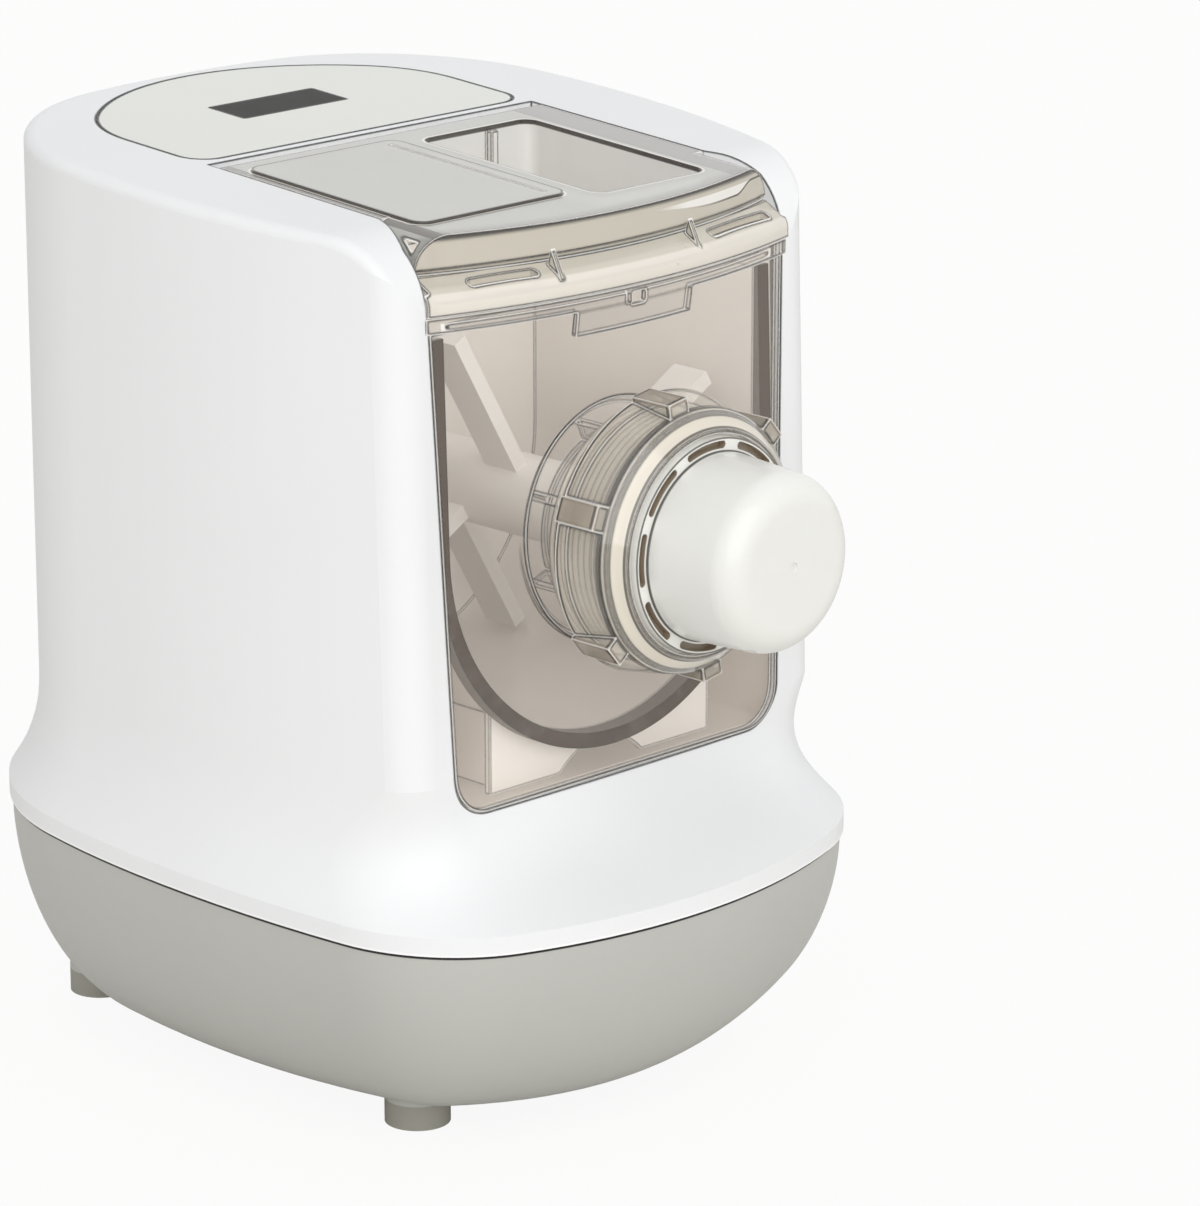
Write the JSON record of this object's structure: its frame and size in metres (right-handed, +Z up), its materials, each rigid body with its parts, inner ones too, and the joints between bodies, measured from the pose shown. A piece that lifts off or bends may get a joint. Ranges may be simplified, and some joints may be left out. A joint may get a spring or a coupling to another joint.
{
  "type": "electric pasta maker",
  "caption": "Upright electric pasta maker with a hinged lid and basin, clear front cover, threaded nozzle with a forming die, pull-out mixing tub and geared motor drive.",
  "frame": {"origin": "on the floor under the middle of the overall bounding box", "axes": "+Z up, -Y to the front where the nozzle points, +X to the right as seen from the front"},
  "size_m": [0.223, 0.2959, 0.305],
  "materials": {
    "housing_shell": "satin white",
    "base_shell": "fine matte grey",
    "foot_rubber": "matte",
    "panel_face": "smooth",
    "display_lens": "polished dark",
    "circuit_board": "solder mask",
    "board_parts": "moulded",
    "lid_plastic": "smoky translucent",
    "cover_plastic": "clear, faintly smoky",
    "gasket_rubber": "soft brown",
    "seal_rubber": "soft pale",
    "die_plastic": "milky",
    "nut_plastic": "clear",
    "tub_plastic": "smooth",
    "agitator_plastic": "smooth",
    "frame_plastic": "moulded",
    "gear_plastic": "natural",
    "plain_steel": "turned",
    "brass_bush": "turned",
    "motor_steel": "drawn",
    "motor_core": "laminated",
    "switch_plastic": "moulded"
  },
  "bodies": {
    "machine": {"housing": "housing_shell", "base_tray": "base_shell", "base_screws": "plain_steel", "foot_1": "foot_rubber", "foot_2": "foot_rubber", "foot_3": "foot_rubber", "foot_4": "foot_rubber", "control_panel": "panel_face", "display_window": "display_lens", "display_board": "circuit_board", "display_module": "board_parts", "lid_hinge_pins": "plain_steel", "inner_frame": "frame_plastic", "bulkhead_seal": "seal_rubber", "frame_screws": "plain_steel", "interlock_switch": "switch_plastic", "output_bearing": "brass_bush", "idler_pins": "plain_steel", "gearbox_case": "frame_plastic", "gearbox_cover": "frame_plastic", "gearbox_screws": "plain_steel", "motor_can": "motor_steel", "motor_end_cap": "motor_steel", "motor_bushings": "brass_bush", "motor_stator": "motor_core", "motor_screws": "plain_steel", "motor_cradle": "frame_plastic", "cradle_screws": "plain_steel", "power_board": "circuit_board", "board_components": "board_parts", "power_inlet": "switch_plastic", "inlet_screws": "plain_steel"},
    "lid_body": {"lid": "lid_plastic"},
    "plunger": {"interlock_plunger": "switch_plastic"},
    "tub": {"mixing_tub": "tub_plastic", "tub_shaft_seal": "seal_rubber"},
    "agitator": {"agitator_shaft": "plain_steel", "extruding_screw": "agitator_plastic", "mixing_paddles": "agitator_plastic"},
    "cover": {"front_cover": "cover_plastic", "cover_gasket": "gasket_rubber", "collar_seal": "seal_rubber"},
    "die": {"forming_die": "die_plastic"},
    "nut": {"locking_nut": "nut_plastic"},
    "output_train": {"output_shaft": "plain_steel", "output_gear": "gear_plastic"},
    "idler_2": {"idler_gear_2": "gear_plastic"},
    "idler_1": {"idler_gear_1": "gear_plastic"},
    "rotor": {"motor_shaft": "plain_steel", "motor_rotor": "motor_core", "motor_fan": "switch_plastic", "motor_pinion": "plain_steel"}
  },
  "joints": [
    {"name": "lid_hinge", "type": "hinge", "parent": "machine", "child": "lid_body", "pos_m": [0, 0.0304, 0.29408], "axis": [-1, 0, 0], "range_deg": [0, 80]},
    {"name": "interlock_plunger_slide", "type": "slide", "parent": "machine", "child": "plunger", "axis": [0, -1, 0], "range_m": [0, 0.0025]},
    {"name": "tub_slide", "type": "slide", "parent": "machine", "child": "tub", "axis": [0, -1, 0], "range_m": [0, 0.18]},
    {"name": "agitator_spin", "type": "hinge", "parent": "tub", "child": "agitator", "pos_m": [0, 0.055, 0.1937], "axis": [0, 1, 0], "continuous": true},
    {"name": "cover_pull", "type": "slide", "parent": "tub", "child": "cover", "axis": [0, -1, 0], "range_m": [0, 0.12]},
    {"name": "die_pull", "type": "slide", "parent": "cover", "child": "die", "axis": [0, -1, 0], "range_m": [0, 0.06]},
    {"name": "nut_turn", "type": "hinge", "parent": "die", "child": "nut", "pos_m": [0, -0.1, 0.1937], "axis": [0, -1, 0], "range_deg": [0, 720]},
    {"name": "output_spin", "type": "hinge", "parent": "machine", "child": "output_train", "pos_m": [0, 0.055, 0.1937], "axis": [0, 1, 0], "continuous": true},
    {"name": "idler_2_spin", "type": "hinge", "parent": "machine", "child": "idler_2", "pos_m": [0.008, 0.055, 0.13928], "axis": [0, 1, 0], "continuous": true},
    {"name": "idler_1_spin", "type": "hinge", "parent": "machine", "child": "idler_1", "pos_m": [-0.01, 0.055, 0.09804], "axis": [0, 1, 0], "continuous": true},
    {"name": "motor_spin", "type": "hinge", "parent": "machine", "child": "rotor", "pos_m": [0, 0.055, 0.06346], "axis": [0, 1, 0], "continuous": true}
  ],
  "couplings": [
    {"joint": "interlock_plunger_slide", "follows": "lid_hinge", "m_per_rad": 0.0017887},
    {"joint": "agitator_spin", "follows": "output_spin", "ratio": 1},
    {"joint": "idler_2_spin", "follows": "output_spin", "ratio": -4.5},
    {"joint": "idler_1_spin", "follows": "output_spin", "ratio": 17.1},
    {"joint": "motor_spin", "follows": "output_spin", "ratio": -85.5}
  ]
}
